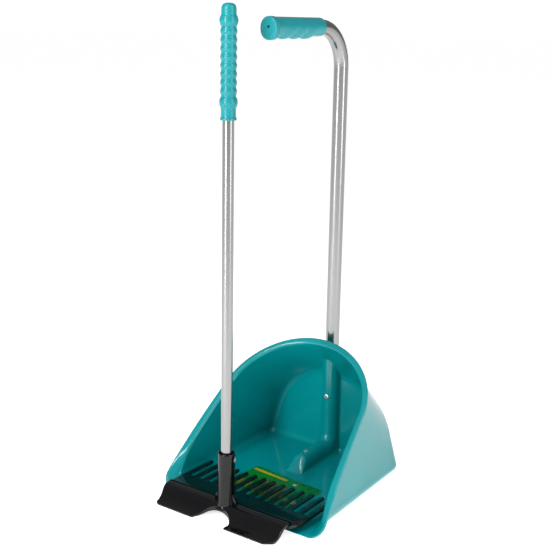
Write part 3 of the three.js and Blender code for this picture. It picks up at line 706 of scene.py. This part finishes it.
def blade():
    """The scraper: an S-shaped strip, cut to its outline with a notch under the handle."""
    start, end = NOTCH[0][0], NOTCH[-1][0]
    columns = np.unique(np.concatenate([np.linspace(-SPINE, SPINE, 90), np.linspace(start, end, 44)]))
    notch = curve_through(NOTCH, 8)
    in_notch = (columns > start) & (columns < end)
    reach = np.where(in_notch, np.interp(columns, notch[:, 0], notch[:, 1]), BLADE_FRONT)
    left_line = [(BLADE_BACK, -SPINE), (8, -SPINE), (31, -105), (33, -104.6), (35, -103.4), (36.4, -101.4),
                 (BLADE_FRONT, -99)]
    right_line = [(BLADE_BACK, SPINE), (8, SPINE), (27, 105), (29, 103.6), (36, 93), (BLADE_FRONT, 91)]
    upper, lower = curve_through(UPPER_LINE, 10), curve_through(LOWER_LINE, 10)
    rows = 30
    grid = []
    for line in (upper, lower):
        rings = []
        for i in range(rows + 1):
            f = BLADE_BACK + (reach - BLADE_BACK) * i / rows
            left = np.interp(f, *zip(*left_line))
            right = np.interp(f, *zip(*right_line))
            share = (columns + SPINE) / (2 * SPINE)
            rings.append(np.stack([RAKE_X + lerp(left, right, share), RAKE_Y - f,
                                   np.interp(f, line[:, 0], line[:, 1])], -1))
        grid.append(rings)
    top, bottom = np.array(grid[0]), np.array(grid[1])
    around = [np.vstack([top[:, c], bottom[::-1, c]]) for c in range(len(columns))]
    return skin(around)


def spine():
    """The bar over the plate's front edge, with fine ribs along its top."""
    section = [(-7, 12.5), (-7, 20.4), (-6.6, 21.2), (-6, 21.5)]
    for f in (-4.6, -2.4, -0.2):
        section += [(f - 0.5, 21.5), (f - 0.3, 22.2), (f + 0.3, 22.2), (f + 0.5, 21.5)]
    section += [(2, 21.5), (2, 12.5)]
    return skin([[(RAKE_X + x, RAKE_Y - f, z) for f, z in section] for x in (-SPINE, SPINE)])


def socket():
    """The post that holds the tube, open at the top, with a flared foot."""
    post = curve_through([(17.6, 0.4), (15.4, 1.8), (14.2, 5), (13.4, 14), (12.9, 26), (12.5, 42),
                          (12.5, 62)], 4)
    mouth = [(12.5, 79), (12.45, 82), (12.1, 82.8), (11.5, 83), (10.8, 82.9), (10.4, 82.3), (10.4, 76.5),
             (9.9, 75.2), (8.4, 75), (8.4, 16), (0, 16)]
    return lathe([(0, 0), (17.6, 0), *post.tolist(), *mouth], on_rake(SOCKET_FOOT), rake_axis, 64)


def gusset(side):
    """A small fin that braces the post on the spine."""
    section = [(12, 20), (19.5, 20), (19.5, 22.5), (18.4, 27), (16, 31.5), (13, 35), (12, 35.5)]
    rings = [[(RAKE_X + side * x, RAKE_Y + y, z) for x, z in section] for y in (-2.6, 2.6)]
    return skin(rings)


mesh_piece("rake_comb", *comb(), "rake", "black_plastic", BLACK_PLASTIC, ["rake_head"], sharp=45, bevel=1.1)
mesh_piece("rake_blade", *blade(), "rake", "black_plastic", BLACK_PLASTIC, ["rake_head"], sharp=50, bevel=0.5)
mesh_piece("rake_spine", *spine(), "rake", "black_plastic", BLACK_PLASTIC, ["rake_head"], sharp=30)
mesh_piece("rake_socket", *socket(), "rake", "black_plastic", BLACK_PLASTIC, ["rake_head"], sharp=50)
mesh_piece("rake_gussets", *joined(gusset(-1), gusset(1)), "rake", "black_plastic", BLACK_PLASTIC,
           ["rake_head"], sharp=50, bevel=0.8)


# ---- the label on the pan's floor ----
LABEL_SIZE, LABEL_TURN = (132, 76), -5.2
label_low, label_high = box("pan_label")
label_middle = (label_low + label_high) / 2


def label_film():
    """A thin film with round corners that follows the floor."""
    (width, depth), corner = LABEL_SIZE, 5
    outline = []
    for cx, cy, start in ((1, 1, 0), (-1, 1, 90), (-1, -1, 180), (1, -1, 270)):
        for a in np.radians(np.linspace(start, start + 90, 8)):
            outline.append((cx * (width / 2 - corner) + corner * math.cos(a),
                            cy * (depth / 2 - corner) + corner * math.sin(a)))
    c, s = math.cos(math.radians(LABEL_TURN)), math.sin(math.radians(LABEL_TURN))
    rings = []
    for share, z in ((1, label_low[2]), (1, label_high[2] - 0.1), (0.995, label_high[2])):
        rings.append([(label_middle[0] + share * (c * x - s * y),
                       label_middle[1] + share * (s * x + c * y), z) for x, y in outline])
    return skin(rings)


def label_material():
    """Printed film: green ground, a plain yellow bar and muted blocks, with no lettering."""
    material, tree, bsdf = shader("label_film")
    c, s = math.cos(math.radians(LABEL_TURN)), math.sin(math.radians(LABEL_TURN))
    mx, my = label_middle[0] * MM, label_middle[1] * MM
    place = (-(c * mx + s * my), -(-s * mx + c * my), 0)
    space = texture_space(tree, (1, 1, 1), (0, 0, -math.radians(LABEL_TURN)), place)
    split = tree.nodes.new("ShaderNodeSeparateXYZ")
    tree.links.new(space, split.inputs["Vector"])

    def band(axis, low, high):
        """1 between low and high millimetres along the label, else 0."""
        node = tree.nodes.new("ShaderNodeMath")
        node.operation = "COMPARE"
        node.inputs[1].default_value = (low + high) / 2 * MM
        node.inputs[2].default_value = (high - low) / 2 * MM
        tree.links.new(split.outputs[axis], node.inputs[0])
        return node.outputs[0]

    def both(one, two):
        node = tree.nodes.new("ShaderNodeMath")
        node.operation = "MULTIPLY"
        tree.links.new(one, node.inputs[0])
        tree.links.new(two, node.inputs[1])
        return node.outputs[0]

    clouds = spread(tree, noise(tree, space, 90, 3), 0, 1)
    colour = blend_colours(tree, clouds, (0.003, 0.19, 0.011), (0.006, 0.25, 0.016))
    blocks = [(both(band("X", -63, 3), band("Y", 25, 31)), (0.55, 0.42, 0.01)),
              (both(band("X", -30, 30), band("Y", -33, 12)), (0.035, 0.13, 0.012)),
              (both(band("X", -24, -18), band("Y", -33, 8)), (0.16, 0.15, 0.07)),
              (both(band("X", -6, 2), band("Y", -33, 10)), (0.14, 0.16, 0.06)),
              (both(band("X", 14, 20), band("Y", -33, 8)), (0.18, 0.17, 0.09)),
              (both(band("X", -60, -34), band("Y", -30, -10)), (0.22, 0.33, 0.01)),
              (both(band("X", 38, 60), band("Y", -26, -16)), (0.34, 0.36, 0.34)),
              (both(band("X", 18, 24), band("Y", 22, 27)), (0.75, 0.76, 0.74))]
    for share, paint in blocks:
        colour = blend_colours(tree, share, colour, paint)
    tree.links.new(colour, bsdf.inputs["Base Color"])
    tree.links.new(spread(tree, noise(tree, space, 60, 4), 0.22, 0.34), bsdf.inputs["Roughness"])
    bumped(tree, bsdf, [(noise(tree, space, 45, 2), 0.25, 0.0006)])
    return material


mesh_piece("floor_label", *label_film(), "scoop", "label_film", label_material(), ["pan_label"], sharp=60)


# ---- floor, light and camera ----
def floor():
    mesh = bpy.data.meshes.new("studio_floor")
    reach = 60
    mesh.from_pydata([(-reach, -reach, 0), (reach, -reach, 0), (reach, reach, 0), (-reach, reach, 0)],
                     [], [(0, 1, 2, 3)])
    material, _, bsdf = shader("studio_floor")
    bsdf.inputs["Base Color"].default_value = (0.93, 0.93, 0.93, 1)
    bsdf.inputs["Roughness"].default_value = 0.9
    bsdf.inputs["Specular IOR Level"].default_value = 0.1
    bsdf.inputs["Emission Color"].default_value = (1, 1, 1, 1)
    bsdf.inputs["Emission Strength"].default_value = 0.74
    mesh.materials.append(material)
    obj = bpy.data.objects.new("studio_floor", mesh)
    obj.location.z = -0.0005
    bpy.context.scene.collection.objects.link(obj)


def area_light(name, place, target, size, power):
    light = bpy.data.lights.new(name, "AREA")
    light.shape = "RECTANGLE"
    light.size, light.size_y = size
    light.energy = power
    obj = bpy.data.objects.new(name, light)
    obj.location = place
    obj.rotation_euler = (Vector(target) - Vector(place)).to_track_quat("-Z", "Y").to_euler()
    obj.visible_camera = False
    bpy.context.scene.collection.objects.link(obj)


floor()
area_light("key", (-0.28, -1.75, 1.0), (0, 0, 0.3), (0.45, 1.9), 29)
area_light("side", (1.6, -0.05, 1.05), (0, 0, 0.35), (0.45, 2.0), 12)
area_light("top", (0.0, -0.9, 2.3), (0, 0, 0.2), (1.2, 1.2), 8)


def studio():
    """White to the eye, and softer and darker where it lights and is mirrored."""
    world = bpy.data.worlds.new("studio")
    world.use_nodes = True
    tree = world.node_tree
    seen = tree.nodes["Background"]
    seen.inputs["Color"].default_value = (1, 1, 1, 1)
    seen.inputs["Strength"].default_value = 1.05
    lit = tree.nodes.new("ShaderNodeBackground")
    lit.inputs["Strength"].default_value = 0.29
    where = tree.nodes.new("ShaderNodeTexCoord")
    split = tree.nodes.new("ShaderNodeSeparateXYZ")
    ramp = tree.nodes.new("ShaderNodeValToRGB")
    ramp.color_ramp.elements[0].position, ramp.color_ramp.elements[1].position = 0.0, 0.8
    ramp.color_ramp.elements[0].color = (0.75, 0.75, 0.75, 1)
    ramp.color_ramp.elements[1].color = (1, 1, 1, 1)
    tree.links.new(where.outputs["Generated"], split.inputs["Vector"])
    tree.links.new(split.outputs["Z"], ramp.inputs["Fac"])
    tree.links.new(ramp.outputs["Color"], lit.inputs["Color"])
    path = tree.nodes.new("ShaderNodeLightPath")
    mix = tree.nodes.new("ShaderNodeMixShader")
    tree.links.new(path.outputs["Is Camera Ray"], mix.inputs["Fac"])
    tree.links.new(lit.outputs["Background"], mix.inputs[1])
    tree.links.new(seen.outputs["Background"], mix.inputs[2])
    tree.links.new(mix.outputs["Shader"], tree.nodes["World Output"].inputs["Surface"])
    bpy.context.scene.world = world


studio()
bpy.context.scene.view_settings.view_transform = "Standard"

AZIMUTH, ELEVATION, ROLL = (math.radians(a) for a in (34.70, 14.597, 0.936))
CAMERA_AT = Vector((0.77438, -1.13655, 0.69421))
forward = Vector((-math.sin(AZIMUTH) * math.cos(ELEVATION), math.cos(AZIMUTH) * math.cos(ELEVATION),
                  -math.sin(ELEVATION)))
right = Vector((math.cos(AZIMUTH), math.sin(AZIMUTH), 0))
up = right.cross(forward)
camera_x = right * math.cos(ROLL) + up * math.sin(ROLL)
camera_y = -right * math.sin(ROLL) + up * math.cos(ROLL)
camera_data = bpy.data.cameras.new("camera")
camera_data.lens = 63.43
camera_data.sensor_width = 36
camera = bpy.data.objects.new("camera", camera_data)
camera.matrix_world = Matrix((camera_x, camera_y, -forward)).transposed().to_4x4()
camera.location = CAMERA_AT
bpy.context.scene.collection.objects.link(camera)
bpy.context.scene.camera = camera
